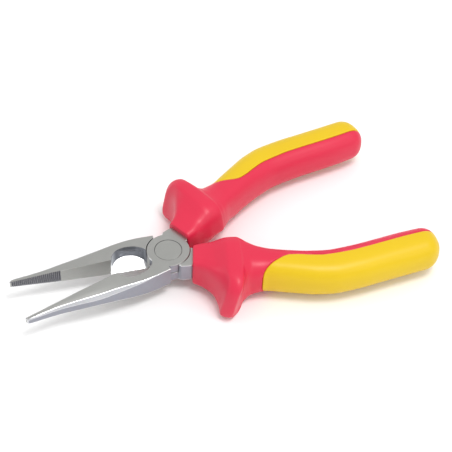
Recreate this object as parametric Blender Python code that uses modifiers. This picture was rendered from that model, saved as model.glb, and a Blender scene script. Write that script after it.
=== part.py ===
# Insulated needle nose pliers: two forged halves lapped on a flush rivet, with two-colour moulded grips.
#
# Each half is drawn closed, in its own frame: the pivot is at the origin, the jaw runs towards -X,
# the tang towards +X, and the faces that grip lie on y = 0. The joint's laps meet on z = 0.
# A hand of +1 is the half whose lap is on top: its jaw is on the -Y side and its tang on the +Y side.
# A hand of -1 mirrors the outline in Y and puts the lap underneath.
# Lengths are in millimetres and are multiplied by MM where a mesh is made.

import math

import bmesh
import bpy
import numpy as np

MM = 0.001
NAME = "needle_nose_pliers"

# Whole tool
HALF_OPENING = 8.65          # degrees that each half is turned from closed
JOINT_THICKNESS = 10.0
FACE = JOINT_THICKNESS / 2
CLEARANCE = 0.3              # between pieces that touch on the real tool

# Joint
BOSS_RADIUS = 10.17
BOSS_POCKET = BOSS_RADIUS + CLEARANCE
RIVET_HEAD_RADIUS = 6.33
RIVET_HEAD_DEPTH = 1.6
RIVET_SHANK_RADIUS = 4.2

# Jaws: place along X, width, half thickness at the gripping face, its fall to the outside, chamfer
JAW_X = (-74.6, -74.0, -66.0, -59.0, -50.0, -40.0, -31.0, -24.0, -17.5, -13.0, -5.0)
JAW_WIDTH = (1.3, 1.8, 2.8, 3.8, 5.8, 8.1, 9.5, 10.5, 11.0, 11.0, 10.9)
JAW_HALF = (1.25, 1.6, 2.33, 2.95, 3.65, 4.25, 4.8, 5.0, 5.0, 5.0, 5.0)
JAW_FALL = (0.05, 0.05, 0.15, 0.3, 0.5, 0.7, 0.5, 0.3, 0.12, 0.05, 0.05)
JAW_CHAMFER = (0.3, 0.4, 0.65, 0.9, 1.25, 1.6, 1.4, 0.95, 0.45, 0.2, 0.15)
JAW_GAP = 0.08               # from the gripping face to y = 0, so that closed jaws don't overlap

# Serrated stretch of the gripping faces
TEETH_START, TEETH_END = -74.0, -51.0
TOOTH_PITCH = 0.92
TOOTH_DEPTH = 0.38

# Side cutter: a hollow open to the top, over a bevel that ends in the cutting edge at the bottom face
CUTTER_WALL = ((-27.4, 0.0), (-26.5, 2.4), (-25.4, 4.0), (-22.9, 5.8), (-19.3, 6.5),
               (-15.5, 6.1), (-13.0, 5.0), (-10.8, 3.5), (-9.9, 1.7), (-9.9, 0.0))
BEVEL_ANGLE = 29.0

# Neck and tang: place along X, inner and outer edge, half thickness
TANG_X = (2.2, 3.6, 7.5, 10.9, 11.8, 15.0, 20.0, 30.0, 40.0, 50.0, 60.0, 70.0, 80.0, 95.0, 110.0, 117.0, 118.0)
TANG_IN = (0.8, 0.8, 0.8, 0.8, 2.4, 3.2, 5.0, 9.2, 13.2, 16.8, 20.0, 21.9, 22.2, 20.9, 19.4, 19.0, 19.6)
TANG_OUT = (9.9, 11.2, 11.8, 11.6, 11.5, 11.8, 13.4, 17.2, 20.8, 24.0, 27.0, 28.7, 28.8, 27.1, 25.2, 24.3, 23.7)
TANG_HALF = (5.0, 5.0, 5.0, 5.0, 4.9, 4.6, 4.3, 4.0, 3.8, 3.7, 3.6, 3.5, 3.4, 3.2, 3.0, 2.9, 2.3)
TANG_CORNER = 0.5

# Inner liner, moulded over the tang, with a closed end
LINER_START, LINER_END = 16.0, 119.6
LINER_WALL = 1.1

# Grip, red sleeve and yellow insert together: place, inner and outer edge, then place and half height
GRIP_X = (10.0, 14.0, 18.5, 22.0, 23.7, 29.0, 31.8, 35.0, 40.0, 46.0, 54.0, 64.0, 74.0, 84.0, 96.0, 110.0, 127.0)
GRIP_IN = (0.8, 0.8, 1.0, 1.1, 1.4, 2.3, 3.4, 5.3, 8.4, 10.9, 13.6, 16.1, 17.4, 17.0, 15.8, 14.2, 13.4)
GRIP_OUT = (13.2, 16.3, 22.5, 29.4, 33.7, 36.5, 28.4, 26.5, 26.7, 28.8, 31.8, 35.2, 36.8, 36.4, 35.1, 33.6, 31.8)
HALF_X = (10.0, 14.0, 18.5, 21.5, 23.3, 23.9, 24.5, 27.0, 29.2, 31.8, 35.0, 40.0, 46.0, 54.0, 74.0, 96.0, 127.0)
GRIP_HALF = (7.6, 8.4, 9.7, 11.35, 12.5, 12.7, 12.75, 12.7, 12.4, 11.4, 10.6, 9.9, 9.8, 9.8, 9.6, 9.5, 9.4)
LOW_INNER = 9.8              # most half height under the inner side

# Lean of the grip's cross-sections towards the joint at their outer side
LEAN_X = (10.0, 18.5, 26.7, 35.0, 46.0, 127.0)
LEAN = (0.26, 0.17, 0.2, 0.11, 0.0, 0.0)

# Squareness of the grip's four corners (2 is an ellipse) at places along X
CORNER_X = (10.0, 14.0, 18.5, 22.0, 26.7, 31.8, 35.0, 40.0, 46.0, 127.0)
INNER_TOP = (6.0, 5.4, 4.6, 4.8, 5.0, 5.0, 3.9, 3.4, 2.9, 2.5)
OUTER_TOP = (6.2, 5.0, 4.0, 3.4, 3.7, 2.7, 2.4, 2.5, 2.6, 2.5)
INNER_BOTTOM = (6.0, 4.0, 2.6, 2.2, 1.7, 1.7, 1.8, 2.1, 2.6, 2.4)
OUTER_BOTTOM = (6.0, 5.8, 5.1, 5.0, 4.3, 4.4, 3.2, 2.7, 2.4, 2.3)

# How far the inner side's top lies outwards of its middle, and each hand's share of that
SLANT_X = (10.0, 14.0, 23.4, 29.5, 36.0, 46.0, 127.0)
SLANT = (0.0, 0.3, 2.8, 2.6, 1.2, 0.0, 0.0)
SLANT_SHARE = {1: 1.0, -1: 0.15}

GRIP_SWEEP = 0.04            # the guard's outer lobe sweeps forward with the square of its reach
SWEEP_START = 8.0            # from the grip's middle, where the sweep starts
GUARD_TWIST = 2.4            # the lobe's top lies this far behind its middle, its bottom as far ahead
TWIST_START, TWIST_END = 8.5, 16.5      # from the grip's middle, where the twist sets in
GRIP_END = 126.6
GRIP_DOME = 8.6              # length of the rounded end
GRIP_POINTS = 32

# Insert: its edge in plan is this curve at the front, then runs beside the grip's middle line
INSERT_FRONT = ((33.2, 45.0), (37.8, 28.2), (38.8, 26.0), (42.1, 23.6), (47.1, 21.2), (50.4, 19.95), (52.6, 19.6),
                (54.6, 19.9))
INSERT_OFFSET = 3.4          # from the middle line towards the inner side
SEAM = 0.15                  # half the gap between sleeve and insert

STEEL = ((0.62, 0.62, 0.60, 1.0), 0.34, 1.0)
RED = ((0.80, 0.045, 0.085, 1.0), 0.45, 0.0)
YELLOW = ((0.90, 0.62, 0.02, 1.0), 0.42, 0.0)
LINER_GREY = ((0.12, 0.12, 0.13, 1.0), 0.55, 0.0)


def clear_scene():
    for old in list(bpy.data.objects):
        bpy.data.objects.remove(old, do_unlink=True)


def new_collection(name):
    made = bpy.data.collections.new(name)
    bpy.context.scene.collection.children.link(made)
    return made


def material(name, look):
    colour, roughness, metallic = look
    made = bpy.data.materials.new(name)
    made.use_nodes = True
    shader = made.node_tree.nodes["Principled BSDF"]
    shader.inputs["Base Color"].default_value = colour
    shader.inputs["Roughness"].default_value = roughness
    shader.inputs["Metallic"].default_value = metallic
    return made


def link(name, mesh, collection, finish=None):
    made = bpy.data.objects.new(name, mesh)
    collection.objects.link(made)
    if finish is None:
        made.hide_render = True
        made.display_type = "WIRE"
    else:
        mesh.materials.append(finish)
    return made


def smoothed(places, values, at):
    """Values between the given places, on a cubic that never overshoots them."""
    places, values = np.asarray(places), np.asarray(values)
    steps = np.diff(values) / np.diff(places)
    before, after = steps[:-1], steps[1:]
    same_way = before * after > 0
    total = np.where(same_way, before + after, 1.0)
    slopes = np.concatenate([steps[:1], np.where(same_way, 2 * before * after / total, 0.0), steps[-1:]])
    i = np.clip(np.searchsorted(places, at) - 1, 0, len(places) - 2)
    width = places[i + 1] - places[i]
    t = (at - places[i]) / width
    return (values[i] * (1 + 2 * t) * (1 - t) ** 2 + width * slopes[i] * t * (1 - t) ** 2
            + values[i + 1] * t * t * (3 - 2 * t) + width * slopes[i + 1] * t * t * (t - 1))


def eased(low, high, at):
    """0 up to low, 1 from high, and a smooth step between."""
    t = np.clip((at - low) / (high - low), 0, 1)
    return t * t * (3 - 2 * t)


def loft(name, rings, collection, finish=None):
    """A closed skin over rings of points: an array of rings x points x 3, in millimetres."""
    count, around = rings.shape[:2]
    shape = bmesh.new()
    rows = [[shape.verts.new(point * MM) for point in ring] for ring in rings]
    for one, two in zip(rows, rows[1:]):
        for k in range(around):
            after = (k + 1) % around
            shape.faces.new((one[k], one[after], two[after], two[k]))
    shape.faces.new(rows[0])
    shape.faces.new(rows[count - 1])
    bmesh.ops.recalc_face_normals(shape, faces=shape.faces)
    mesh = bpy.data.meshes.new(name)
    shape.to_mesh(mesh)
    shape.free()
    return link(name, mesh, collection, finish)


def plate(name, outline, low, high, collection):
    """A flat outline, filled and given a thickness from low to high in Z."""
    curve = bpy.data.curves.new(name, "CURVE")
    curve.dimensions = "2D"
    curve.fill_mode = "BOTH"
    curve.extrude = (high - low) / 2 * MM
    line = curve.splines.new("POLY")
    line.points.add(len(outline) - 1)
    for point, (x, y) in zip(line.points, outline):
        point.co = (x * MM, y * MM, 0, 1)
    line.use_cyclic_u = True
    drawn = bpy.data.objects.new(name + "_outline", curve)
    collection.objects.link(drawn)
    graph = bpy.context.evaluated_depsgraph_get()
    mesh = bpy.data.meshes.new_from_object(drawn.evaluated_get(graph))
    bpy.data.objects.remove(drawn)
    shape = bmesh.new()
    shape.from_mesh(mesh)
    bmesh.ops.remove_doubles(shape, verts=shape.verts, dist=0.0001 * MM)
    bmesh.ops.translate(shape, verts=shape.verts, vec=(0, 0, (low + high) / 2 * MM))
    bmesh.ops.recalc_face_normals(shape, faces=shape.faces)
    shape.to_mesh(mesh)
    shape.free()
    return link(name, mesh, collection)


def disc(name, radius, low, high, collection):
    shape = bmesh.new()
    bmesh.ops.create_cone(shape, cap_ends=True, segments=72, radius1=radius * MM, radius2=radius * MM,
                          depth=(high - low) * MM)
    bmesh.ops.translate(shape, verts=shape.verts, vec=(0, 0, (low + high) / 2 * MM))
    mesh = bpy.data.meshes.new(name)
    shape.to_mesh(mesh)
    shape.free()
    return link(name, mesh, collection)


def boolean(target, other, operation):
    step = target.modifiers.new(other.name, "BOOLEAN")
    step.operation = operation
    step.object = other
    step.solver = "EXACT"


def cut_box(inner, outer, half, corner, hand):
    """Rows of y and z round a rectangle with cut corners, one row for each place along X."""
    inner, outer, half = (np.asarray(v, float)[:, None] for v in (inner, outer, half))
    side_y = np.array([1, 1, 1, -1, -1, -1, -1, 1])
    side_z = np.array([-1, 1, 1, 1, 1, -1, -1, -1])
    cut_y = np.array([0, 0, 1, 1, 0, 0, 1, 1]) * corner
    cut_z = np.array([1, 1, 0, 0, 1, 1, 0, 0]) * corner
    y = (inner + outer) / 2 + side_y * ((outer - inner) / 2 - cut_y)
    return hand * y, side_z * (half - cut_z)


def stacked(x, y, z):
    return np.stack([np.broadcast_to(x, y.shape), y, z], axis=-1)


def tang_skin(name, first, last, grow, hand, collection):
    """The tang's own shape between two places, grown by a margin all round."""
    inside = [x for x in TANG_X if first < x < last]
    x = np.array([first, *inside, last])
    inner, outer, half = (np.interp(x, TANG_X, v) for v in (TANG_IN, TANG_OUT, TANG_HALF))
    y, z = cut_box(inner - grow, outer + grow, half + grow, TANG_CORNER + grow / 2, hand)
    return loft(name, stacked(x[:, None], y, z), collection)


def jaw_skin(name, hand, collection, finish):
    """The jaw, with flat gripping face, gently falling top and bottom, and an outer chamfer."""
    rings = []
    for x, width, half, fall, chamfer in zip(JAW_X, JAW_WIDTH, JAW_HALF, JAW_FALL, JAW_CHAMFER):
        middle = JAW_GAP + 0.45 * width
        top = [(JAW_GAP, half), (middle, half - 0.25 * fall), (width - chamfer, half - fall),
               (width, half - fall - chamfer)]
        bottom = [(y, -z) for y, z in reversed(top)]
        rings.append([(x, -hand * y, z) for y, z in top + bottom])
    return loft(name, np.array(rings), collection, finish)


def cutter_hollow(name, hand, collection):
    """The hollow's curved wall, over the bevel that rises from the cutting edge."""
    wall = [(CUTTER_WALL[0][0], 1.0)] + [(x, -y) for x, y in CUTTER_WALL] + [(CUTTER_WALL[-1][0], 1.0)]
    well = plate(name, [(x, hand * y) for x, y in wall], -FACE - 1, FACE + 1, collection)
    slope = math.tan(math.radians(BEVEL_ANGLE))
    side, reach = 1.5, -8.0
    section = [(side, -FACE - side * slope), (side, FACE + 2), (reach, FACE + 2), (reach, -FACE - reach * slope)]
    ends = (CUTTER_WALL[0][0] - 1, CUTTER_WALL[-1][0] + 1)
    above = loft(name + "_bevel", np.array([[(x, hand * y, z) for y, z in section] for x in ends]), collection)
    boolean(well, above, "INTERSECT")
    return well


def tooth_comb(name, hand, collection):
    """A comb whose points cut the V grooves across the gripping face."""
    count = round((TEETH_END - TEETH_START) / TOOTH_PITCH)
    outline = [(TEETH_START, 1.0)]
    for k in range(count):
        left = TEETH_START + k * TOOTH_PITCH
        outline += [(left, 0.04 - JAW_GAP), (left + TOOTH_PITCH / 2, -JAW_GAP - TOOTH_DEPTH)]
    outline += [(TEETH_START + count * TOOTH_PITCH, 0.04 - JAW_GAP), (TEETH_START + count * TOOTH_PITCH, 1.0)]
    return plate(name, [(x, hand * y) for x, y in outline], -FACE, FACE, collection)


def lap_range(hand, low, high):
    """Heights counted from the parting plane towards this half's own lap, lowest first."""
    return sorted((hand * low, hand * high))


def forged_half(name, hand, parts, cutters, finish):
    """Jaw, lap and tang in one forging: hollowed, serrated, pocketed for the other lap, bored for the rivet."""
    half = jaw_skin(name, hand, parts, finish)
    boolean(half, cutter_hollow(name + "_hollow", hand, cutters), "DIFFERENCE")
    boolean(half, tooth_comb(name + "_teeth", hand, cutters), "DIFFERENCE")
    boolean(half, tang_skin(name + "_tang", TANG_X[0], TANG_X[-1], 0.0, hand, cutters), "UNION")
    pocket = lap_range(hand, -FACE - 1, CLEARANCE / 2)
    boolean(half, disc(name + "_pocket", BOSS_POCKET, *pocket, cutters), "DIFFERENCE")
    lap = lap_range(hand, CLEARANCE / 2, FACE)
    boolean(half, disc(name + "_boss", BOSS_RADIUS, *lap, cutters), "UNION")
    bore = disc(name + "_bore", RIVET_SHANK_RADIUS + CLEARANCE / 2, -FACE - 1, FACE + 1, cutters)
    boolean(half, bore, "DIFFERENCE")
    seat = lap_range(hand, FACE - RIVET_HEAD_DEPTH - CLEARANCE / 2, FACE + 1)
    boolean(half, disc(name + "_seat", RIVET_HEAD_RADIUS + CLEARANCE / 2, *seat, cutters), "DIFFERENCE")
    return half


def rivet(name, parts, finish):
    """Turned about the pivot: a flush head at each end of a plain shank."""
    head, shank, neck = RIVET_HEAD_RADIUS, RIVET_SHANK_RADIUS, FACE - RIVET_HEAD_DEPTH
    profile = [(0, FACE), (head, FACE), (head, neck), (shank, neck),
               (shank, -neck), (head, -neck), (head, -FACE), (0, -FACE)]
    mesh = bpy.data.meshes.new(name)
    mesh.from_pydata([(r * MM, 0, z * MM) for r, z in profile], [(k, k + 1) for k in range(len(profile) - 1)], [])
    made = link(name, mesh, parts, finish)
    turn = made.modifiers.new("turned", "SCREW")
    turn.steps = turn.render_steps = 72
    turn.use_merge_vertices = True
    turn.merge_threshold = 0.00001
    return made


def grip_skin(name, hand, collection, finish=None):
    """The whole grip: squarish at the joint, flared into the guard, round along the handle, domed at the end."""
    dome_start = GRIP_END - GRIP_DOME
    dome = dome_start + GRIP_DOME * np.sin(np.radians([20, 38, 54, 68, 80, 87]))
    guard = [10, 12, 14, 16.5, 18.5, 20.2, 21.5, 22.5, 23.3, 24.1, 26.0, 27.6, 28.7, 29.7, 30.8, 31.8, 33.2, 35, 37.5, 40, 43]
    x = np.array([*guard, *np.arange(46.0, dome_start, 6.0), dome_start, *dome])
    inner, outer = (smoothed(GRIP_X, v, x)[:, None] for v in (GRIP_IN, GRIP_OUT))
    half = smoothed(HALF_X, GRIP_HALF, x)[:, None]
    slant = smoothed(SLANT_X, SLANT, x)[:, None] * SLANT_SHARE[hand]
    lean = smoothed(LEAN_X, LEAN, x)[:, None]
    inner_top, outer_top, inner_bottom, outer_bottom = (
        smoothed(CORNER_X, v, x)[:, None] for v in (INNER_TOP, OUTER_TOP, INNER_BOTTOM, OUTER_BOTTOM))
    beyond = np.clip((x - dome_start) / GRIP_DOME, 0, 1)[:, None]
    shrink = (1 - beyond ** 2.2) ** (1 / 2.2)
    around = np.linspace(0, 2 * np.pi, GRIP_POINTS, endpoint=False) + np.pi / GRIP_POINTS
    cosine, sine = np.cos(around), np.sin(around)
    square = np.where(sine > 0, np.where(cosine > 0, outer_top, inner_top),
                      np.where(cosine > 0, outer_bottom, inner_bottom))
    reach = (outer - inner) / 2
    across = reach * shrink * np.sign(cosine) * np.abs(cosine) ** (2 / square)
    height = np.sign(sine) * np.abs(sine) ** (2 / square)
    innerness = eased(0, 0.8, -across / reach)
    low = np.where(sine < 0, half + (np.minimum(half, LOW_INNER) - half) * innerness, half)
    z = low * shrink * height
    across = across + slant * innerness * np.clip(height, 0, 1)
    y = (inner + outer) / 2 + across
    guard_part = np.interp(x, (35, 46), (1, 0))[:, None]
    sweep = GRIP_SWEEP * np.clip(across - SWEEP_START, 0, None) ** 2
    twist = GUARD_TWIST * eased(TWIST_START, TWIST_END, across) * height
    swept = x[:, None] - lean * across - guard_part * (sweep - twist)
    return loft(name, stacked(swept, hand * y, z), collection, finish)


def insert_region(name, margin, hand, collection):
    """The outer side of the grip in plan: a curve at the front, then a line beside the grip's middle."""
    x = np.array([57.5, 62.0, 70.0, 80.0, 90.0, 100.0, 110.0, 118.0, GRIP_END + 4])
    middle = (smoothed(GRIP_X, GRIP_IN, x) + smoothed(GRIP_X, GRIP_OUT, x)) / 2
    edge = [(px + margin, py + margin) for px, py in INSERT_FRONT]
    edge += list(zip(x, middle - INSERT_OFFSET + margin))
    outline = edge + [(GRIP_END + 4, 45.0 + margin)]
    return plate(name, [(px, hand * py) for px, py in outline], -20, 20, collection)


def bored(target, name, hand, cutters):
    """Clears the neck, the tang and its liner out of a grip piece."""
    boolean(target, tang_skin(name + "_neck_bore", 5.0, 17.0, 0.2, hand, cutters), "DIFFERENCE")
    reach = CLEARANCE + LINER_WALL
    boolean(target, tang_skin(name + "_liner_bore", LINER_START - CLEARANCE, LINER_END + CLEARANCE, reach, hand,
                              cutters), "DIFFERENCE")


def sleeve(name, hand, parts, cutters, finish):
    made = grip_skin(name, hand, parts, finish)
    boolean(made, insert_region(name + "_window", -SEAM, hand, cutters), "DIFFERENCE")
    bored(made, name, hand, cutters)
    return made


def insert(name, hand, parts, cutters, finish):
    made = grip_skin(name, hand, parts, finish)
    boolean(made, insert_region(name + "_edge", SEAM, hand, cutters), "INTERSECT")
    bored(made, name, hand, cutters)
    return made


def liner(name, hand, parts, cutters, finish):
    """A hard tube moulded over the tang, open at the front and closed at the end."""
    gap = CLEARANCE / 2
    made = tang_skin(name, LINER_START, LINER_END, gap + LINER_WALL, hand, parts)
    made.hide_render = False
    made.display_type = "TEXTURED"
    made.data.materials.append(finish)
    boolean(made, tang_skin(name + "_bore", LINER_START - 1, TANG_X[-1] + gap, gap, hand, cutters), "DIFFERENCE")
    return made


def lever(prefix, hand, parts, cutters, finishes):
    """One half with its grip, turned about the pivot to the rest opening."""
    steel, red, yellow, grey = finishes
    pieces = [
        forged_half(prefix + "_half", hand, parts, cutters, steel),
        sleeve(prefix + "_grip_sleeve", hand, parts, cutters, red),
        insert(prefix + "_grip_insert", hand, parts, cutters, yellow),
        liner(prefix + "_tang_liner", hand, parts, cutters, grey),
    ]
    pivot = bpy.data.objects.new(prefix + "_pivot", None)
    parts.objects.link(pivot)
    pivot.location = (0, 0, FACE * MM)
    pivot.rotation_euler = (0, 0, math.radians(hand * HALF_OPENING))
    for piece in [*pieces, *[c for c in cutters.objects if c.name.startswith(prefix)]]:
        piece.parent = pivot
    return pivot


def main():
    clear_scene()
    parts = new_collection(NAME)
    cutters = new_collection(NAME + "_cutters")
    finishes = [material("forged_steel", STEEL), material("red_grip", RED),
                material("yellow_grip", YELLOW), material("liner_grey", LINER_GREY)]
    lever("upper", 1, parts, cutters, finishes)
    lever("lower", -1, parts, cutters, finishes)
    rivet("pivot_rivet", parts, material("rivet_steel", STEEL)).location = (0, 0, FACE * MM)
    for piece in parts.objects:
        if piece.type == "MESH":
            piece.data.shade_smooth()
            piece.data.set_sharp_from_angle(angle=math.radians(30))


main()
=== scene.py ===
# Needle nose pliers with two-colour grips: the looks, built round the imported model.
# Every shape is worked out in millimetres in its own half's frame, drawn closed: the pivot at the origin,
# the jaw towards -X, the tang towards +X, the laps meeting on z = 0. A hand of 1 is the half whose lap is on top.

import math

import bmesh
import bpy
import numpy as np
from mathutils import Matrix


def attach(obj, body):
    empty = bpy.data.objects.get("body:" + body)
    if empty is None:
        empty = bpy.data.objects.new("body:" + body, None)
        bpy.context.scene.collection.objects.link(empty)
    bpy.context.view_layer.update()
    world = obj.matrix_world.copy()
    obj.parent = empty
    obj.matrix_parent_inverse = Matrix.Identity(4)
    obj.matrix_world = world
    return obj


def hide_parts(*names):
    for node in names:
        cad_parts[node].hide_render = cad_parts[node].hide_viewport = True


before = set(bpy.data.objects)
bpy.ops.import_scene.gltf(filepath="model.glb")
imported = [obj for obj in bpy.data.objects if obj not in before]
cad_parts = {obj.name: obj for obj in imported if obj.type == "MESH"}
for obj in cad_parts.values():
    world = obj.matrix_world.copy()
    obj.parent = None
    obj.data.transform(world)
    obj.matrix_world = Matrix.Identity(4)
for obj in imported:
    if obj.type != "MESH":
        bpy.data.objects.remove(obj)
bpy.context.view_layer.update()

tool = {
    "mm": 0.001,
    "opening": 8.65,            # degrees that each half is turned from closed
    "face": 5.0,                # half the joint's thickness, and the height of the parting plane
    "clearance": 0.3,
    "around": 128,              # columns of a turned shape
    "filletPoints": 4,
    "crease": 32,               # degrees between two steel faces that look crisp
}
sides = {"upper": 1, "lower": -1}


# A cubic through the given places that never overshoots them: its slope at a place is the harmonic mean of
# the slopes on both sides, or 0 where they differ in sign.
def smoothCurve(places, values, at):
    places, values = np.asarray(places, float), np.asarray(values, float)
    steps = np.diff(values) / np.diff(places)
    before, after = steps[:-1], steps[1:]
    sameWay = before * after > 0
    total = np.where(sameWay, before + after, 1.0)
    slopes = np.concatenate([steps[:1], np.where(sameWay, 2 * before * after / total, 0.0), steps[-1:]])
    at = np.asarray(at, float)
    i = np.clip(np.searchsorted(places, at) - 1, 0, len(places) - 2)
    width = places[i + 1] - places[i]
    t = (at - places[i]) / width
    return (values[i] * (1 + 2 * t) * (1 - t) ** 2 + width * slopes[i] * t * (1 - t) ** 2
            + values[i + 1] * t * t * (3 - 2 * t) + width * slopes[i + 1] * t * t * (t - 1))


def easeBetween(low, high, at):
    t = np.clip((at - low) / (high - low), 0, 1)
    return t * t * (3 - 2 * t)


# Points of one half's frame, turned by the opening about the pivot, raised to the parting plane, in metres.
def placeHalf(points, hand):
    turn = math.radians(hand * tool["opening"])
    x, y, z = points[..., 0], points[..., 1], points[..., 2]
    turned = np.stack([x * math.cos(turn) - y * math.sin(turn),
                       x * math.sin(turn) + y * math.cos(turn), z + tool["face"]], axis=-1)
    return turned * tool["mm"]


# A mesh over a grid of points, rows x columns x 3, whose columns close on themselves. Each end is closed
# by one face, or by a fan to a point in the middle of the end row.
def meshFromGrid(name, grid, fan=False):
    rows, columns = grid.shape[:2]
    k = np.arange(rows * columns).reshape(rows, columns)
    after = np.roll(k, -1, axis=1)
    quads = np.stack([k[:-1], after[:-1], after[1:], k[1:]], axis=-1).reshape(-1, 4)
    points = grid.reshape(-1, 3)
    faces = quads.tolist()
    if fan:
        points = np.concatenate([points, grid[:1].mean(axis=1), grid[-1:].mean(axis=1)])
        first, last = rows * columns, rows * columns + 1
        faces += np.stack([np.full(columns, first), after[0], k[0]], axis=-1).tolist()
        faces += np.stack([np.full(columns, last), k[-1], after[-1]], axis=-1).tolist()
    else:
        faces += [k[0][::-1].tolist(), k[-1].tolist()]
    mesh = bpy.data.meshes.new(name)
    mesh.from_pydata(points, [], faces)
    facesOut(mesh)
    return mesh


def facesOut(mesh):
    shape = bmesh.new()
    shape.from_mesh(mesh)
    bmesh.ops.recalc_face_normals(shape, faces=shape.faces)
    shape.to_mesh(mesh)
    shape.free()


def putInScene(mesh, *finishes):
    made = bpy.data.objects.new(mesh.name, mesh)
    bpy.context.scene.collection.objects.link(made)
    for finish in finishes:
        mesh.materials.append(finish)
    return made


# One ring after another with a fillet at each corner: at a corner the curve is (1-t)^2 A + 2t(1-t) corner + t^2 B,
# where A and B lie at the fillet's reach along the two sides.
def filletRings(corners, reach):
    before, after = np.roll(corners, 1, axis=1), np.roll(corners, -1, axis=1)
    toBefore, toAfter = before - corners, after - corners
    lengthBefore = np.linalg.norm(toBefore, axis=-1, keepdims=True)
    lengthAfter = np.linalg.norm(toAfter, axis=-1, keepdims=True)
    reach = np.minimum(np.asarray(reach, float)[..., None], 0.42 * np.minimum(lengthBefore, lengthAfter))
    start, end = corners + toBefore / lengthBefore * reach, corners + toAfter / lengthAfter * reach
    t = np.linspace(0, 1, tool["filletPoints"])[:, None]
    curve = (start[..., None, :] * (1 - t) ** 2 + corners[..., None, :] * 2 * t * (1 - t) + end[..., None, :] * t * t)
    return curve.reshape(corners.shape[0], -1, corners.shape[-1])


# A flat outline carried straight from one height to another, or between two heights given point by point.
def prism(name, outline, low, high):
    outline = np.asarray(outline, float)
    rings = [np.column_stack([outline, np.broadcast_to(z, len(outline))]) for z in (low, high)]
    return meshFromGrid(name, np.array(rings))


# A profile of (radius, height) turned about the pivot's axis.
def turned(name, profile, fan=True):
    around = tool["around"]
    radius, height = np.asarray(profile, float).T
    angle = np.linspace(0, 2 * np.pi, around, endpoint=False)
    grid = np.stack([radius[:, None] * np.cos(angle), radius[:, None] * np.sin(angle),
                     np.broadcast_to(height[:, None], (len(height), around))], axis=-1)
    return meshFromGrid(name, grid, fan=fan)


# The first mesh with the others cut from it, joined to it or kept in common, in order.
def carved(name, start, steps):
    made = putInScene(start)
    helpers = []
    for operation, mesh in steps:
        helper = putInScene(mesh)
        step = made.modifiers.new(mesh.name, "BOOLEAN")
        step.operation, step.object, step.solver = operation, helper, "EXACT"
        helpers.append(helper)
    graph = bpy.context.evaluated_depsgraph_get()
    mesh = bpy.data.meshes.new_from_object(made.evaluated_get(graph))
    mesh.name = name
    for old in [made, *helpers]:
        bpy.data.objects.remove(old)
    return mesh


def newGroup(name, inputs, outputs):
    tree = bpy.data.node_groups.new(name, "ShaderNodeTree")
    for label, kind, value in inputs:
        socket = tree.interface.new_socket(label, in_out="INPUT", socket_type=kind)
        socket.default_value = value
    for label, kind in outputs:
        tree.interface.new_socket(label, in_out="OUTPUT", socket_type=kind)
    return tree, tree.nodes.new("NodeGroupInput"), tree.nodes.new("NodeGroupOutput")


def addNode(tree, kind, **settings):
    node = tree.nodes.new(kind)
    for key, value in settings.items():
        setattr(node, key, value)
    return node


# A socket takes a link from another socket, or a plain value.
def feed(tree, value, socket):
    if isinstance(value, bpy.types.NodeSocket):
        tree.links.new(value, socket)
    else:
        socket.default_value = value


def mathNode(tree, operation, first, second, clamp=False):
    node = addNode(tree, "ShaderNodeMath", operation=operation, use_clamp=clamp)
    feed(tree, first, node.inputs[0])
    feed(tree, second, node.inputs[1])
    return node.outputs[0]


def mixColour(tree, factor, one, two):
    node = addNode(tree, "ShaderNodeMix", data_type="RGBA")
    for value, index in ((factor, 0), (one, 6), (two, 7)):
        feed(tree, value, node.inputs[index])
    return node.outputs[2]


def noiseNode(tree, place, scale, detail, roughness, stretch=(1, 1, 1)):
    mapping = addNode(tree, "ShaderNodeMapping")
    mapping.inputs["Scale"].default_value = stretch
    tree.links.new(place, mapping.inputs["Vector"])
    noise = addNode(tree, "ShaderNodeTexNoise")
    tree.links.new(mapping.outputs[0], noise.inputs["Vector"])
    feed(tree, scale, noise.inputs["Scale"])
    noise.inputs["Detail"].default_value = detail
    noise.inputs["Roughness"].default_value = roughness
    return noise.outputs["Fac"]


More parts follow.
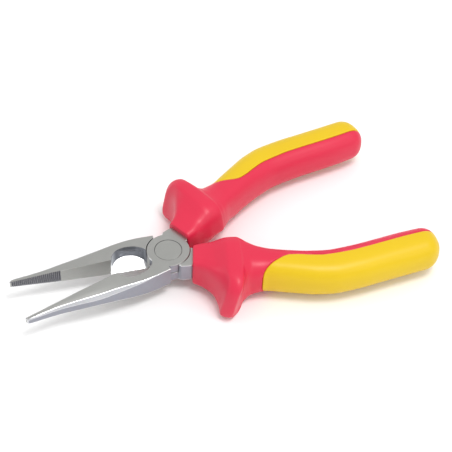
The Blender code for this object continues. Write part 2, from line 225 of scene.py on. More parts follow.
# Ground metal: fine scratches along the jaw over soft clouds, brighter and smoother where edges are rubbed.
# Place is in millimetres in the half's frame.
def makeGroundMetal():
    tree, into, out = newGroup("groundMetal", [
        ("Place", "NodeSocketVector", (0, 0, 0)), ("Colour", "NodeSocketColor", (0.5, 0.5, 0.5, 1)),
        ("Rubbed Colour", "NodeSocketColor", (0.8, 0.8, 0.8, 1)), ("Edge", "NodeSocketFloat", 0.0),
        ("Roughness", "NodeSocketFloat", 0.3), ("Scratch", "NodeSocketFloat", 0.5), ("Cloud", "NodeSocketFloat", 0.3),
    ], [("Colour", "NodeSocketColor"), ("Roughness", "NodeSocketFloat"), ("Height", "NodeSocketFloat")])
    place = into.outputs["Place"]
    scratch = noiseNode(tree, place, 1.0, 4.0, 0.6, (0.25, 7.0, 7.0))
    fine = noiseNode(tree, place, 6.0, 2.0, 0.6)
    cloud = noiseNode(tree, place, 0.11, 3.0, 0.5)
    lift = mathNode(tree, "MULTIPLY", mathNode(tree, "SUBTRACT", scratch, 0.5), into.outputs["Scratch"])
    drift = mathNode(tree, "MULTIPLY", mathNode(tree, "SUBTRACT", cloud, 0.5), into.outputs["Cloud"])
    both = mathNode(tree, "ADD", lift, drift)
    shade = mathNode(tree, "ADD", both, 1.0)
    tone = addNode(tree, "ShaderNodeVectorMath", operation="SCALE")
    tree.links.new(into.outputs["Colour"], tone.inputs[0])
    tree.links.new(shade, tone.inputs["Scale"])
    wear = mathNode(tree, "ADD", mathNode(tree, "MULTIPLY", cloud, 0.9), 0.4)
    patchy = mathNode(tree, "MULTIPLY", into.outputs["Edge"], wear, clamp=True)
    feed(tree, mixColour(tree, patchy, tone.outputs[0], into.outputs["Rubbed Colour"]), out.inputs["Colour"])
    rough = mathNode(tree, "ADD", into.outputs["Roughness"], mathNode(tree, "MULTIPLY", both, 0.22))
    rough = mathNode(tree, "SUBTRACT", rough, mathNode(tree, "MULTIPLY", patchy, 0.1), clamp=True)
    tree.links.new(rough, out.inputs["Roughness"])
    feed(tree, mathNode(tree, "ADD", lift, mathNode(tree, "MULTIPLY", fine, 0.12)), out.inputs["Height"])
    return tree


# Moulded grip: a fine spark-eroded grain, soft clouds of tone, and tiny scuffs that shine a little.
def makeMouldedGrain():
    tree, into, out = newGroup("mouldedGrain", [
        ("Place", "NodeSocketVector", (0, 0, 0)), ("Colour", "NodeSocketColor", (0.8, 0.1, 0.1, 1)),
        ("Deep Colour", "NodeSocketColor", (0.6, 0.05, 0.05, 1)), ("Grain Scale", "NodeSocketFloat", 2600.0),
        ("Roughness", "NodeSocketFloat", 0.45), ("Mottle", "NodeSocketFloat", 0.35),
    ], [("Colour", "NodeSocketColor"), ("Roughness", "NodeSocketFloat"), ("Height", "NodeSocketFloat")])
    place = into.outputs["Place"]
    grain = noiseNode(tree, place, into.outputs["Grain Scale"], 2.0, 0.5)
    cloud = noiseNode(tree, place, 45.0, 3.0, 0.5)
    scuff = noiseNode(tree, place, 520.0, 4.0, 0.65)
    rare = addNode(tree, "ShaderNodeMapRange")
    rare.inputs["From Min"].default_value, rare.inputs["From Max"].default_value = 0.62, 0.74
    tree.links.new(scuff, rare.inputs["Value"])
    blotch = mathNode(tree, "ADD", mathNode(tree, "MULTIPLY", cloud, 0.75), mathNode(tree, "MULTIPLY", grain, 0.35))
    pick = mathNode(tree, "MULTIPLY", blotch, into.outputs["Mottle"], clamp=True)
    feed(tree, mixColour(tree, pick, into.outputs["Colour"], into.outputs["Deep Colour"]), out.inputs["Colour"])
    uneven = mathNode(tree, "MULTIPLY", mathNode(tree, "SUBTRACT", grain, 0.5), 0.25)
    rough = mathNode(tree, "ADD", into.outputs["Roughness"], uneven)
    rough = mathNode(tree, "SUBTRACT", rough, mathNode(tree, "MULTIPLY", rare.outputs[0], 0.08), clamp=True)
    tree.links.new(rough, out.inputs["Roughness"])
    worn = mathNode(tree, "MULTIPLY", rare.outputs[0], 0.4)
    feed(tree, mathNode(tree, "SUBTRACT", grain, worn), out.inputs["Height"])
    return tree


groundMetal = makeGroundMetal()
mouldedGrain = makeMouldedGrain()
print("shader groups made")


steelFinishes = {
    "forgedSteel": {"colour": (0.46, 0.462, 0.444), "rubbed": (0.9, 0.9, 0.9),
                    "roughness": 0.36, "scratch": 0.22, "cloud": 0.14, "bump": 0.12, "metal": 1.0},
    # Ground bevel: a brighter copy of the same steel, partly its smoother ground finish and partly a painted highlight
    # where the chamfer catches the light.
    "groundBevelPaintedHighlight": {"colour": (0.66, 0.665, 0.69), "rubbed": (0.8, 0.8, 0.82),
                    "roughness": 0.3, "scratch": 0.16, "cloud": 0.1, "bump": 0.08, "metal": 1.0},
    # Outer flank: a darker, bluish copy of the same steel on the upright side faces, painted shade and painted
    # reflection picked by which way the faces look.
    "flankPaintedShade": {"colour": (0.325, 0.33, 0.372), "rubbed": (0.8, 0.8, 0.82),
                   "roughness": 0.34, "scratch": 0.2, "cloud": 0.12, "bump": 0.12, "metal": 1.0},
    # Hollow's wall: a darker copy of the same steel, painted shade inside the cutter's hollow.
    "hollowWallPaintedShade": {"colour": (0.24, 0.255, 0.285), "rubbed": (0.6, 0.6, 0.6),
                   "roughness": 0.17, "scratch": 0.25, "cloud": 0.2, "bump": 0.1, "metal": 1.0},
    # Cutting bevel: near white and only partly metallic, a painted highlight standing in for the bright reflection off
    # the polished bevel.
    "cutterPaintedHighlight": {"colour": (0.9, 0.9, 0.9), "rubbed": (0.95, 0.95, 0.95),
                   "roughness": 0.18, "scratch": 0.12, "cloud": 0.08, "bump": 0.06, "metal": 0.35},
    # Teeth: a darker copy of the same steel, painted shade down in the grooves.
    "toothPaintedShade": {"colour": (0.235, 0.235, 0.26), "rubbed": (0.6, 0.6, 0.6),
                   "roughness": 0.4, "scratch": 0.2, "cloud": 0.15, "bump": 0.1, "metal": 1.0},
    "rivetSteel": {"colour": (0.46, 0.464, 0.444), "rubbed": (0.9, 0.9, 0.9),
                   "roughness": 0.34, "scratch": 0.2, "cloud": 0.14, "bump": 0.12, "metal": 1.0},
}
gripFinishes = {
    "redElastomer": {"colour": (0.72, 0.024, 0.07), "deep": (0.61, 0.014, 0.048), "grain": 2600.0,
                     "roughness": 0.38, "mottle": 0.5, "bump": 0.09},
    "yellowElastomer": {"colour": (0.77, 0.535, 0.002), "deep": (0.65, 0.395, 0.002), "grain": 2400.0,
                        "roughness": 0.4, "mottle": 0.45, "bump": 0.09},
    "linerPlastic": {"colour": (0.055, 0.055, 0.06), "deep": (0.03, 0.03, 0.032), "grain": 1500.0,
                     "roughness": 0.5, "mottle": 0.5, "bump": 0.1},
}

relief = {"steel": 0.00004, "grip": 0.00012}      # metres


def newFinish(name):
    made = bpy.data.materials.new(name)
    made.use_nodes = True
    tree = made.node_tree
    shader = tree.nodes["Principled BSDF"]
    return made, tree, shader


def feedShader(tree, shader, group, look, distance):
    tree.links.new(group.outputs["Colour"], shader.inputs["Base Color"])
    tree.links.new(group.outputs["Roughness"], shader.inputs["Roughness"])
    raised = addNode(tree, "ShaderNodeBump")
    raised.inputs["Strength"].default_value = look["bump"]
    raised.inputs["Distance"].default_value = distance
    tree.links.new(group.outputs["Height"], raised.inputs["Height"])
    tree.links.new(raised.outputs[0], shader.inputs["Normal"])


def setGroup(group, look, names):
    for label, key in names.items():
        group.inputs[label].default_value = (*look[key], 1) if isinstance(look[key], tuple) else look[key]


def makeSteel(name, look):
    made, tree, shader = newFinish(name)
    shader.inputs["Metallic"].default_value = look["metal"]
    place = addNode(tree, "ShaderNodeAttribute", attribute_name="halfPlace")
    edge = addNode(tree, "ShaderNodeAttribute", attribute_name="rubbedEdge")
    group = addNode(tree, "ShaderNodeGroup", node_tree=groundMetal)
    tree.links.new(place.outputs["Vector"], group.inputs["Place"])
    tree.links.new(edge.outputs["Fac"], group.inputs["Edge"])
    setGroup(group, look, {"Colour": "colour", "Rubbed Colour": "rubbed", "Roughness": "roughness",
                           "Scratch": "scratch", "Cloud": "cloud"})
    feedShader(tree, shader, group, look, relief["steel"])
    return made


def makeGrip(name, look):
    made, tree, shader = newFinish(name)
    shader.inputs["Specular IOR Level"].default_value = 0.4
    place = addNode(tree, "ShaderNodeTexCoord")
    group = addNode(tree, "ShaderNodeGroup", node_tree=mouldedGrain)
    tree.links.new(place.outputs["Object"], group.inputs["Place"])
    setGroup(group, look, {"Colour": "colour", "Deep Colour": "deep", "Grain Scale": "grain",
                           "Roughness": "roughness", "Mottle": "mottle"})
    feedShader(tree, shader, group, look, relief["grip"])
    return made


steels = {name: makeSteel(name, look) for name, look in steelFinishes.items()}
grips = {name: makeGrip(name, look) for name, look in gripFinishes.items()}
print("finishes made:", len(steels) + len(grips))


jaw = {
    "place": (-74.6, -74.0, -66.0, -59.0, -50.0, -40.0, -31.0, -24.0, -17.5, -13.0, -5.0),
    "width": (1.3, 1.8, 2.8, 3.8, 5.8, 8.1, 9.5, 10.5, 11.0, 11.0, 10.9),
    "half": (1.25, 1.6, 2.33, 2.95, 3.65, 4.25, 4.8, 5.0, 5.0, 5.0, 5.0),
    "fall": (0.05, 0.05, 0.15, 0.3, 0.5, 0.7, 0.5, 0.3, 0.12, 0.05, 0.05),
    "chamfer": (0.3, 0.4, 0.65, 0.9, 1.25, 1.6, 1.4, 0.95, 0.45, 0.2, 0.15),
    "gap": 0.08,
    "crownPlace": 0.45, "crownFall": 0.25, "filletShare": 0.2,      # shares of the width, the fall and the width
    "spacing": 1.0,
    "fillet": (0.14, 3.0, 0.22, 0.25),      # reach at the gripping edge, the crown, the ridge and the flank
}
teeth = {"start": -74.0, "end": -51.0, "pitch": 0.92, "depth": 0.38}
cutter = {
    "wall": ((-27.4, 0.0), (-26.5, 2.4), (-25.4, 4.0), (-22.9, 5.8), (-19.3, 6.5),
             (-15.5, 6.1), (-13.0, 5.0), (-10.8, 3.5), (-9.9, 1.7), (-9.9, 0.0)),
    "bevel": 29.0,
}
joint = {"boss": 10.17, "edge": 0.18, "head": 6.33, "headDepth": 1.6, "shank": 4.2, "seatRoom": 0.2}
tang = {
    "place": (2.2, 3.6, 7.5, 10.9, 11.8, 15.0, 20.0, 30.0, 40.0, 50.0, 60.0, 70.0, 80.0, 95.0, 110.0, 117.0, 118.0),
    "inner": (0.8, 0.8, 0.8, 0.8, 2.4, 3.2, 5.0, 9.2, 13.2, 16.8, 20.0, 21.9, 22.2, 20.9, 19.4, 19.0, 19.6),
    "outer": (9.9, 11.2, 11.8, 11.6, 11.5, 11.8, 13.4, 17.2, 20.8, 24.0, 27.0, 28.7, 28.8, 27.1, 25.2, 24.3, 23.7),
    "half": (5.0, 5.0, 5.0, 5.0, 4.9, 4.6, 4.3, 4.0, 3.8, 3.7, 3.6, 3.5, 3.4, 3.2, 3.0, 2.9, 2.3),
    "corner": 0.6,
}


# Eight-cornered rings along the jaw: flat inside, gently crowned top and bottom, chamfered outside.
def jawMesh(name, hand):
    x = np.concatenate([[-74.6, -74.5, -74.3], np.arange(-74.0, -5.0, jaw["spacing"]), [-5.0]])
    width, half, fall, chamfer = (
        smoothCurve(jaw["place"], jaw[key], x) for key in ("width", "half", "fall", "chamfer"))
    gap = np.full_like(x, jaw["gap"])
    middle = gap + jaw["crownPlace"] * width
    y = np.stack([gap, middle, width - chamfer, width, width, width - chamfer, middle, gap], axis=-1)
    rise = np.stack([half, half - jaw["crownFall"] * fall, half - fall, half - fall - chamfer], axis=-1)
    z = np.concatenate([rise, -rise[:, ::-1]], axis=-1)
    corners = np.stack([np.broadcast_to(x[:, None], y.shape), -hand * y, z], axis=-1)
    reach = np.minimum(np.array(jaw["fillet"] + jaw["fillet"][::-1]), jaw["filletShare"] * width[:, None])
    return meshFromGrid(name, filletRings(corners, reach))


# Four-cornered rings along the neck and tang, with rounded corners.
def tangMesh(name, hand):
    x = np.unique(np.concatenate([tang["place"], np.arange(12.0, 118.0, 2.0)]))
    inner, outer, half = (np.interp(x, tang["place"], tang[key]) for key in ("inner", "outer", "half"))
    y = np.stack([outer, outer, inner, inner], axis=-1)
    z = np.stack([-half, half, half, -half], axis=-1)
    corners = np.stack([np.broadcast_to(x[:, None], y.shape), hand * y, z], axis=-1)
    return meshFromGrid(name, filletRings(corners, np.full(4, tang["corner"])))


# The hollow: a smooth curve through the wall's points, carried up from a plane that rises away from the edge.
def hollowMesh(name, hand):
    wall = np.array(cutter["wall"])
    run = np.concatenate([[0], np.cumsum(np.linalg.norm(np.diff(wall, axis=0), axis=1))])
    at = np.linspace(0, run[-1], 61)
    x, y = smoothCurve(run, wall[:, 0], at), smoothCurve(run, wall[:, 1], at)
    x, y = np.concatenate([x[:1], x, x[-1:]]), np.concatenate([[-1.0], y, [-1.0]])
    slope = math.tan(math.radians(cutter["bevel"]))
    return prism(name, np.column_stack([x, -hand * y]), -tool["face"] + y * slope, tool["face"] + 2)


# A comb whose points cut V grooves across the gripping face.
def combMesh(name, hand):
    count = round((teeth["end"] - teeth["start"]) / teeth["pitch"])
    left = teeth["start"] + np.arange(count + 1) * teeth["pitch"]
    x = np.empty(2 * count + 1)
    x[0::2], x[1::2] = left, left[:-1] + teeth["pitch"] / 2
    y = np.where(np.arange(2 * count + 1) % 2 == 0, 0.04 - jaw["gap"], -jaw["gap"] - teeth["depth"])
    outline = np.column_stack([np.concatenate([x[:1], x, x[-1:]]), hand * np.concatenate([[1.0], y, [1.0]])])
    return prism(name, outline, -tool["face"], tool["face"])


def lapRange(hand, low, high):
    return sorted((hand * low, hand * high))


def discMesh(name, radius, low, high, edge=0.0):
    if not edge:
        return turned(name, [(radius, low), (radius, high)], fan=False)
    profile = [(radius - edge, low), (radius, low + edge), (radius, high - edge), (radius - edge, high)]
    return turned(name, profile, fan=False)


# Places in millimetres, and parts of a face's normal: a rise is how far it points up or down, "out" how far it
# points away from the gripping face.
sorting = {
    "jawEnd": -9.8, "sideRise": 0.5,
    "bevelOut": 0.25, "bevelRise": 0.93, "bevelShare": 0.5,     # a share is of the jaw's width
    "flankOut": 0.93, "flankShare": 0.8,
    "hollow": (-27.6, -9.7, 0.09, 6.7, 4.99),       # its start and end, inner and outer side, and most height
    "wallRise": 0.2, "wallOut": 0.6, "cutterRise": (0.6, 0.95),
    "toothDepth": 0.5, "toothTurn": 0.3,
    "filletRise": ((0.1, 0.66), (0.76, 0.97)), "filletWear": 0.75,
}


# Faces told apart by where they lie and how they face in the half's frame, each given a lit or shaded copy of the
# steel:
# 0 forged face, 1 ground bevel with a painted highlight, 2 outer flank in painted shade, 3 hollow's wall in painted
# shade, 4 cutting bevel with a painted highlight, 5 teeth in painted shade.
def sortSteelFaces(mesh, hand):
    centre, normal = np.empty(len(mesh.polygons) * 3), np.empty(len(mesh.polygons) * 3)
    mesh.polygons.foreach_get("center", centre)
    mesh.polygons.foreach_get("normal", normal)
    centre, normal = centre.reshape(-1, 3), normal.reshape(-1, 3)
    x, out, tall = centre[:, 0], -hand * centre[:, 1], np.abs(normal[:, 2])
    facingOut = -hand * normal[:, 1]
    width = smoothCurve(jaw["place"], jaw["width"], np.clip(x, jaw["place"][0], jaw["place"][-1]))
    ahead = x < sorting["jawEnd"]
    kind = np.where((x > sorting["jawEnd"]) & (tall < sorting["sideRise"]), 2, 0)
    bevelled = (facingOut > sorting["bevelOut"]) & (tall < sorting["bevelRise"])
    kind[ahead & bevelled & (out > sorting["bevelShare"] * width)] = 1
    kind[ahead & (facingOut > sorting["flankOut"]) & (out > sorting["flankShare"] * width)] = 2
    start, end, near, far, top = sorting["hollow"]
    hollow = (x > start) & (x < end) & (out > near) & (out < far) & (np.abs(centre[:, 2]) < top)
    kind[hollow & (tall < sorting["wallRise"]) & (facingOut < sorting["wallOut"])] = 3
    low, high = sorting["cutterRise"]
    kind[hollow & (normal[:, 2] > low) & (normal[:, 2] < high)] = 4
    grooved = (x < teeth["end"] + 0.1) & (out < sorting["toothDepth"])
    kind[grooved & (np.abs(normal[:, 0]) > sorting["toothTurn"])] = 5
    mesh.polygons.foreach_set("material_index", kind)
    fillet = np.any([(tall > low) & (tall < high) for low, high in sorting["filletRise"]], axis=0)
    markRubbed(mesh, np.where(fillet & (kind < 3), sorting["filletWear"], 0.0))


# The place of each point in the half's frame.
def markPlaces(mesh, places):
    place = mesh.attributes.new("halfPlace", "FLOAT_VECTOR", "POINT")
    place.data.foreach_set("vector", places.ravel().astype(np.float32))


# How rubbed each face looks, from 0 to 1.
def markRubbed(mesh, rubbed):
    worn = mesh.attributes.new("rubbedEdge", "FLOAT", "FACE")
    worn.data.foreach_set("value", rubbed.astype(np.float32))


def meshPoints(mesh):
    points = np.empty(len(mesh.vertices) * 3)
    mesh.vertices.foreach_get("co", points)
    return points.reshape(-1, 3)


# Smooth within each face, crisp over the crease angle, with normals led by the larger faces.
def finishShading(made):
    made.data.shade_smooth()
    made.data.set_sharp_from_angle(angle=math.radians(tool["crease"]))
    weigh = made.modifiers.new("largeFacesLead", "WEIGHTED_NORMAL")
    weigh.keep_sharp = True
    weigh.weight = 80


def makeHalf(side, hand):
    name = side + "Half"
    face, gap = tool["face"], tool["clearance"]
    seat, seatFloor = joint["head"] + joint["seatRoom"], face - joint["headDepth"] - gap / 2
    mesh = carved(name, jawMesh(name + "Jaw", hand), [
        ("DIFFERENCE", hollowMesh(name + "Hollow", hand)),
        ("DIFFERENCE", combMesh(name + "Comb", hand)),
        ("UNION", tangMesh(name + "Tang", hand)),
        ("DIFFERENCE", discMesh(name + "Pocket", joint["boss"] + gap, *lapRange(hand, -face - 1, gap / 2))),
        ("UNION", discMesh(name + "Boss", joint["boss"], *lapRange(hand, gap / 2, face), joint["edge"])),
        ("DIFFERENCE", discMesh(name + "Bore", joint["shank"] + gap / 2, -face - 1, face + 1)),
        ("DIFFERENCE", discMesh(name + "Seat", seat, *lapRange(hand, seatFloor, face + 1))),
    ])
    mesh.materials.clear()
    # Lit and shaded copies of one steel: painted highlights on the bevels, painted shade on the flank, hollow and
    # teeth.
    kinds = ("forgedSteel", "groundBevelPaintedHighlight", "flankPaintedShade", "hollowWallPaintedShade", "cutterPaintedHighlight", "toothPaintedShade")
    made = putInScene(mesh, *[steels[kind] for kind in kinds])
    sortSteelFaces(mesh, hand)
    places = meshPoints(mesh)
    markPlaces(mesh, places)
    mesh.vertices.foreach_set("co", placeHalf(places, hand).ravel())
    mesh.update()
    finishShading(made)
    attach(made, side + "_lever")
    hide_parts(side + "_half")
    return made


halves = [makeHalf(side, hand) for side, hand in sides.items()]
print("forged halves made:", [len(made.data.polygons) for made in halves])


rivet = {"rim": 0.08, "ring": 5.85, "ringWidth": 0.15, "ringDepth": 0.015}


# Turned about the pivot, with both heads flush with the bosses and a fine turned ring near each rim.
def makeRivet():
    face, head, shank = tool["face"], joint["head"], joint["shank"]
    neck, ring, reach = face - joint["headDepth"], rivet["ring"], rivet["ringWidth"]
    top = [(0.02, face), (2.0, face), (ring - reach, face), (ring, face - rivet["ringDepth"]), (ring + reach, face),
           (head - rivet["rim"], face), (head, face - rivet["rim"]), (head, neck), (shank, neck)]
    profile = np.array(top + [(r, -z) for r, z in reversed(top)])
    mesh = turned("pivotRivet", profile)
    places = meshPoints(mesh)
    markPlaces(mesh, places)
    markRubbed(mesh, np.zeros(len(mesh.polygons)))
    mesh.vertices.foreach_set("co", ((places + (0, 0, face)) * tool["mm"]).ravel())
    made = putInScene(mesh, steels["rivetSteel"])
    finishShading(made)
    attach(made, "lower_lever")
    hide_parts("pivot_rivet")


makeRivet()
print("rivet made")


grip = {
    "place": (10.0, 14.0, 18.5, 22.0, 23.7, 29.0, 31.8, 35.0, 40.0, 46.0, 54.0, 64.0, 74.0, 84.0, 96.0, 110.0, 127.0),
    "inner": (0.8, 0.8, 1.0, 1.1, 1.4, 2.3, 3.4, 5.3, 8.4, 10.9, 13.6, 16.1, 17.4, 17.0, 15.8, 14.2, 13.4),
    "outer": (13.2, 16.3, 22.5, 29.4, 33.7, 36.5, 28.4, 26.5, 26.7, 28.8, 31.8, 35.2, 36.8, 36.4, 35.1, 33.6, 31.8),
    "halfPlace": (10.0, 14.0, 18.5, 21.5, 23.3, 23.9, 24.5, 27.0, 29.2, 31.8, 35.0, 40.0, 46.0, 54.0, 74.0, 96.0,
                  127.0),
    "half": (7.6, 8.4, 9.7, 11.35, 12.5, 12.7, 12.75, 12.7, 12.4, 11.4, 10.6, 9.9, 9.8, 9.8, 9.6, 9.5, 9.4),
    "leanPlace": (10.0, 18.5, 26.7, 35.0, 46.0, 127.0),
    "lean": (0.26, 0.17, 0.2, 0.11, 0.0, 0.0),
    "cornerPlace": (10.0, 14.0, 18.5, 22.0, 26.7, 31.8, 35.0, 40.0, 46.0, 127.0),
    "innerTop": (6.0, 5.4, 4.6, 4.8, 5.0, 5.0, 3.9, 3.4, 2.9, 2.5),      # 2 is an ellipse, more is squarer
    "outerTop": (6.2, 5.0, 4.0, 3.4, 3.7, 2.7, 2.4, 2.5, 2.6, 2.5),
    "innerBottom": (6.0, 4.0, 2.6, 2.2, 1.7, 1.7, 1.8, 2.1, 2.6, 2.4),
    "outerBottom": (6.0, 5.8, 5.1, 5.0, 4.3, 4.4, 3.2, 2.7, 2.4, 2.3),
    "sweep": 0.04, "sweepStart": 8.0, "twist": 2.4, "twistStart": 8.5, "twistEnd": 16.5,
    "guardFade": (35.0, 46.0),              # the sweep and the twist die away between these places
    "slantPlace": (10.0, 14.0, 23.4, 29.5, 36.0, 46.0, 127.0),
    "slant": (0.0, 0.3, 2.8, 2.6, 1.2, 0.0, 0.0),      # how far the inner side's top lies outwards of its middle
    "slantShare": {1: 1.0, -1: 0.15},
    "lowInner": 9.8,                                     # most half height under the inner side
    "end": 126.6, "dome": 8.6, "domePower": 2.2, "tail": 0.004,
    "front": 10.0, "lip": 0.7, "lipSteps": 7,
    "rings": 320, "around": 208, "bodyShare": 0.84,      # the share of the rings before the dome
    "neck": (0.9, 11.5, 4.9), "neckPower": 12.0,    # the hole round the neck: inner side, outer side, half height
    "plug": 3.0, "room": 1.2, "crease": 50,
}
insertEdge = {
    "front": ((31.0, 53.0), (33.2, 45.0), (37.8, 28.2), (38.8, 26.0), (42.1, 23.6), (47.1, 21.2), (50.4, 19.95),
              (52.6, 19.6), (54.6, 19.9)),
    "straight": (57.5, 62.0, 70.0, 80.0, 90.0, 100.0, 110.0, 118.0, 132.0),
    "offset": 3.4,                  # behind the front, the edge runs this far inwards of the middle
    "seam": 0.1, "round": 0.5, "recess": 0.8, "overlap": 0.7,
    "under": (-0.28, 0.12),         # the sleeve sinks to the recess across this stretch of the edge
    "step": 0.05, "drop": 6.0,      # for the curve's steepness, and how fast the edge falls away before its start
    "rings": 230, "across": 96, "crowd": 0.35, "columnCrowd": 1.55, "crease": 60,
    "turn": 0.97, "tries": 900,     # the edge is looked for over this share of half a ring, at this many angles
    "search": (25.0, 60.0), "searchTries": 4000, "ahead": 0.02,
}


# The grip's skin at rings s and angles a, sunk by a depth along its flattened normal. Across a ring the curve is a
# superellipse whose power differs by quadrant: across = reach * cos^(2/p), height = half * sin^(2/p). Rings lean and
# sweep forward with their reach near the guard, and shrink by (1 - t^2.2)^(1/2.2) over the domed end.
def gripSkin(s, a, hand, sink=0.0):
    s, a = np.broadcast_arrays(np.asarray(s, float), np.asarray(a, float))
    at = np.clip(s, grip["place"][0], grip["end"])
    inner, outer = (smoothCurve(grip["place"], grip[key], at) for key in ("inner", "outer"))
    half = smoothCurve(grip["halfPlace"], grip["half"], at)
    lean = smoothCurve(grip["leanPlace"], grip["lean"], at)
    corners = ("innerTop", "outerTop", "innerBottom", "outerBottom")
    innerTop, outerTop, innerBottom, outerBottom = (smoothCurve(grip["cornerPlace"], grip[key], at) for key in corners)
    c, w = np.cos(a), np.sin(a)
    power = np.where(w > 0, np.where(c > 0, outerTop, innerTop), np.where(c > 0, outerBottom, innerBottom))
    beyond = np.clip((s - (grip["end"] - grip["dome"])) / grip["dome"], 0, 1)
    shrink = (1 - beyond ** grip["domePower"]) ** (1 / grip["domePower"])
    height = np.sign(w) * np.abs(w) ** (2 / power)
    reach = (outer - inner) / 2
    across = (reach * shrink - sink) * np.sign(c) * np.abs(c) ** (2 / power)
    innerness = easeBetween(0, 0.8, -across / reach)
    low = np.where(w < 0, half + (np.minimum(half, grip["lowInner"]) - half) * innerness, half)
    z = (low * shrink - sink) * height
    slant = smoothCurve(grip["slantPlace"], grip["slant"], at) * grip["slantShare"][hand]
    across = across + slant * innerness * np.clip(height, 0, 1)
    guard = np.interp(s, grip["guardFade"], (1, 0))
    sweep = grip["sweep"] * np.clip(across - grip["sweepStart"], 0, None) ** 2
    twist = grip["twist"] * easeBetween(grip["twistStart"], grip["twistEnd"], across) * height
    x = s - lean * across - guard * (sweep - twist)
    return np.stack([x, (inner + outer) / 2 + across, z], axis=-1)


# How far a point lies inside the insert, seen from above: its y less the edge curve's y, over the curve's steepness.
def insideInsert(points):
    placeX = np.array(insertEdge["straight"])
    at = np.clip(placeX, grip["place"][0], grip["place"][-1])
    middle = (smoothCurve(grip["place"], grip["inner"], at) + smoothCurve(grip["place"], grip["outer"], at)) / 2
    front = np.array(insertEdge["front"])
    edgeX = np.concatenate([front[:, 0], placeX])
    edgeY = np.concatenate([front[:, 1], middle - insertEdge["offset"]])
    x = np.clip(points[..., 0], edgeX[0], edgeX[-1])
    edge = smoothCurve(edgeX, edgeY, x)
    step = insertEdge["step"]
    steep = (smoothCurve(edgeX, edgeY, x + step) - edge) / step
    before = insertEdge["drop"] * np.clip(edgeX[0] - points[..., 0], 0, None)
    return (points[..., 1] - edge - before) / np.sqrt(1 + steep ** 2)


# Places of the rings: along the body they go as crowd * u^2 + (1 - crowd) * u, and over the dome as a sine, so
# they crowd together towards its end.
def ringPlaces(start, count, crowd=0.0, ahead=0.0):
    dome, tail = grip["end"] - grip["dome"], grip["end"] - grip["tail"]
    plain = int(count * grip["bodyShare"])
    u = np.linspace(0, 1, plain, endpoint=False)
    body = start + ahead + (dome - start) * (crowd * u ** 2 + (1 - crowd) * u)
    swing = np.linspace(0, np.pi / 2, count - plain)
    return np.concatenate([body, dome + (tail - dome) * np.sin(swing)])


# How deep the skin can sink at a ring before the dome's end would fold over.
def roomAt(s):
    return np.sqrt(np.clip(grip["end"] - s, 0, None) * grip["room"])


# Angles that crowd at the squarer corners, where the superellipse turns fast: a - 0.16 sin 4a keeps points even.
def evenAngles(count):
    a = np.linspace(0, 2 * np.pi, count, endpoint=False)
    return a - 0.16 * np.sin(4 * a)


# Front end of the sleeve: a quarter-round lip, a flat face in to the neck, and a plug that ends inside the neck.
def frontRings(a, hand):
    lip, front = grip["lip"], grip["front"]
    turn = np.linspace(np.pi / 2, 0, grip["lipSteps"])[:-1]
    rounded = gripSkin(front + lip - lip * np.sin(turn)[:, None], a, hand, (lip * (1 - np.cos(turn)))[:, None])
    inner, outer, half = grip["neck"]
    c, w = (np.sign(v) * np.abs(v) ** (2 / grip["neckPower"]) for v in (np.cos(a), np.sin(a)))
    hole = np.stack([np.zeros_like(a), (inner + outer) / 2 + (outer - inner) / 2 * c, half * w], axis=-1)
    rim = rounded[0]
    hole[:, 0] = front + 0.1 - grip["lean"][0] * (hole[:, 1] - 7.0)
    share = np.array([0.0, 0.35, 0.7])[:, None, None]
    flat = hole * (1 - share) + rim * share
    deep = hole.copy()
    deep[:, 0] += grip["plug"]
    middle = deep * 0.5 + deep.mean(axis=0) * 0.5
    return np.concatenate([middle[None], deep[None], flat, rounded])


def makeSleeve(side, hand):
    a = evenAngles(grip["around"])
    s = ringPlaces(grip["front"] + grip["lip"], grip["rings"])[:, None]
    inside = insideInsert(gripSkin(s, a[None], hand))
    under = easeBetween(*insertEdge["under"], inside) * insertEdge["recess"]
    skin = gripSkin(s, a[None], hand, np.minimum(under, 0.98 * roomAt(s)))
    grid = np.concatenate([frontRings(a, hand), skin])
    grid[..., 1] *= hand
    mesh = meshFromGrid(side + "GripSleeve", placeHalf(grid, hand), fan=True)
    made = putInScene(mesh, grips["redElastomer"])
    mesh.shade_smooth()
    mesh.set_sharp_from_angle(angle=math.radians(grip["crease"]))
    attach(made, side + "_lever")
    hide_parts(side + "_grip_sleeve")


# On each ring, the angle where the insert's edge crosses the skin, going from the outer side up or down.
def edgeAngles(s, way, hand):
    a = np.linspace(0, np.pi * insertEdge["turn"], insertEdge["tries"])
    inside = insideInsert(gripSkin(s[:, None], way * a[None], hand)) - insertEdge["seam"]
    outFirst = np.argmax(inside < 0, axis=1)
    outFirst = np.where((inside < 0).any(axis=1), outFirst, a.size - 1)
    row = np.arange(len(s))
    before = np.maximum(outFirst - 1, 0)
    high, low = inside[row, before], inside[row, outFirst]
    t = np.where(outFirst > 0, high / np.where(high - low == 0, 1, high - low), 0)
    return way * (a[before] + np.clip(t, 0, 1) * (a[outFirst] - a[before]))


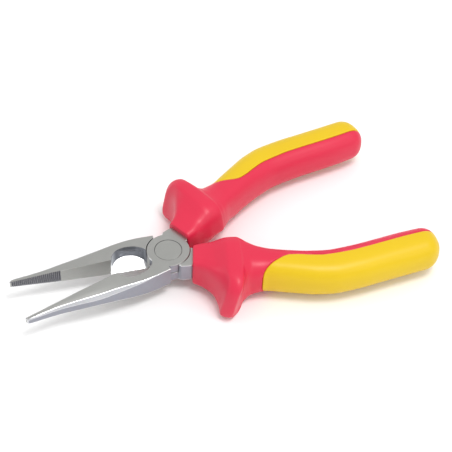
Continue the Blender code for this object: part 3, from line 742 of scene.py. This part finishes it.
# The insert's shell: its columns run from the upper edge round the outer side to the lower edge, crowded at both
# edges, which are rounded down by r - sqrt(r^2 - (r - d)^2) at a distance d from the edge. A second layer lies
# beneath and closes it.
def makeInsert(side, hand):
    search = np.linspace(*insertEdge["search"], insertEdge["searchTries"])
    found = insideInsert(gripSkin(search, 0 * search, hand)) - insertEdge["seam"] > 0
    s = ringPlaces(search[np.argmax(found)], insertEdge["rings"], insertEdge["crowd"], insertEdge["ahead"])
    top, bottom = edgeAngles(s, 1, hand), edgeAngles(s, -1, hand)
    run = np.linspace(-1, 1, insertEdge["across"])
    run = np.sign(run) * (1 - (1 - np.abs(run)) ** insertEdge["columnCrowd"])
    a = (top + bottom)[:, None] / 2 + (top - bottom)[:, None] / 2 * run[None, ::-1]
    r = insertEdge["round"]
    depth = np.clip(insideInsert(gripSkin(s[:, None], a, hand)) - insertEdge["seam"], 0, r)
    sink = r - np.sqrt(np.clip(r ** 2 - (r - depth) ** 2, 0, None))
    limit = 0.9 * roomAt(s)[:, None]
    outerSkin = gripSkin(s[:, None], a, hand, np.minimum(sink, limit))
    under = np.minimum(insertEdge["recess"] + insertEdge["overlap"], limit * 1.4 + 0.004)
    innerSkin = gripSkin(s[:, None], a, hand, under)
    grid = np.concatenate([outerSkin, innerSkin[:, ::-1]], axis=1)
    grid[..., 1] *= hand
    mesh = meshFromGrid(side + "GripInsert", placeHalf(grid, hand))
    made = putInScene(mesh, grips["yellowElastomer"])
    mesh.shade_smooth()
    mesh.set_sharp_from_angle(angle=math.radians(insertEdge["crease"]))
    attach(made, side + "_lever")
    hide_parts(side + "_grip_insert")


for side, hand in sides.items():
    makeSleeve(side, hand)
    makeInsert(side, hand)
print("grips made")


# The liners are the model's own tubes, kept, with a moulded finish.
for side in sides:
    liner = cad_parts[side + "_tang_liner"]
    liner.data.materials.clear()
    liner.data.materials.append(grips["linerPlastic"])
print("liners finished")


stage = {
    "floorSize": 6.0, "floorHeight": -0.0068, "floorColour": (0.97, 0.97, 0.97), "floorPatch": (0.985, 0.985, 0.985),
    "skyStrength": 0.78,
    "key": {"place": (0.22, -0.3, 1.22), "size": 0.5, "power": 7.0},
    "front": {"place": (0.5, -0.78, 0.66), "size": 0.6, "power": 1.0},
    "back": {"place": (-1.0, 0.55, 0.5), "size": 0.5, "power": 0.9},
}
shot = {
    "place": (-0.17611, -0.42218, 0.50472), "azimuth": -25.952, "elevation": 46.229, "roll": 2.774,
    "lens": 114.81, "sensor": 36.0, "clip": (0.01, 10.0),
}


def makeFloor():
    half, steps = stage["floorSize"] / 2, 25
    u, v = np.meshgrid(np.linspace(-half, half, steps), np.linspace(-half, half, steps), indexing="ij")
    points = np.stack([u, v, np.full_like(u, stage["floorHeight"])], axis=-1).reshape(-1, 3)
    k = np.arange(steps * steps).reshape(steps, steps)
    quads = np.stack([k[:-1, :-1], k[1:, :-1], k[1:, 1:], k[:-1, 1:]], axis=-1).reshape(-1, 4)
    mesh = bpy.data.meshes.new("paleFloor")
    mesh.from_pydata(points, [], quads.tolist())
    finish, tree, shader = newFinish("palePaper")
    place = addNode(tree, "ShaderNodeTexCoord")
    tone = noiseNode(tree, place.outputs["Object"], 3.0, 2.0, 0.5)
    shade = mixColour(tree, tone, (*stage["floorColour"], 1), (*stage["floorPatch"], 1))
    tree.links.new(shade, shader.inputs["Base Color"])
    shader.inputs["Roughness"].default_value = 0.9
    floor = putInScene(mesh, finish)


# Stands a light or the camera at a place, with its own axes along the three given directions.
def stand(made, right, up, back, place):
    made.matrix_world = Matrix(np.vstack([np.column_stack([right, up, back, place]), [0, 0, 0, 1]]).tolist())


def makeLight(name, look):
    lamp = bpy.data.lights.new(name, "AREA")
    lamp.shape = "DISK"
    lamp.size = look["size"]
    lamp.energy = look["power"]
    made = bpy.data.objects.new(name, lamp)
    bpy.context.scene.collection.objects.link(made)
    place = np.array(look["place"])
    back = place / np.linalg.norm(place)
    right = np.cross((0, 0, 1), back)
    right /= np.linalg.norm(right)
    stand(made, right, np.cross(back, right), back, place)


def makeCamera():
    lens = bpy.data.cameras.new("camera")
    lens.lens = shot["lens"]
    lens.sensor_width = shot["sensor"]
    lens.clip_start, lens.clip_end = shot["clip"]
    made = bpy.data.objects.new("camera", lens)
    bpy.context.scene.collection.objects.link(made)
    azimuth, elevation, roll = (math.radians(shot[key]) for key in ("azimuth", "elevation", "roll"))
    level = math.cos(elevation)
    ahead = np.array([-math.sin(azimuth) * level, math.cos(azimuth) * level, -math.sin(elevation)])
    flat = np.cross(ahead, (0, 0, 1))
    flat /= np.linalg.norm(flat)
    right = flat * math.cos(roll) + np.cross(flat, ahead) * math.sin(roll)
    up = np.cross(right, ahead)
    stand(made, right, up, -ahead, shot["place"])
    bpy.context.scene.camera = made


makeFloor()
for name in ("key", "front", "back"):
    makeLight(name + "Light", stage[name])
world = bpy.data.worlds.new("softRoom")
world.use_nodes = True
world.node_tree.nodes["Background"].inputs["Color"].default_value = (1.0, 1.0, 1.0, 1.0)
world.node_tree.nodes["Background"].inputs["Strength"].default_value = stage["skyStrength"]
bpy.context.scene.world = world
bpy.context.scene.view_settings.view_transform = "Standard"
makeCamera()
print("floor, light and camera ready")
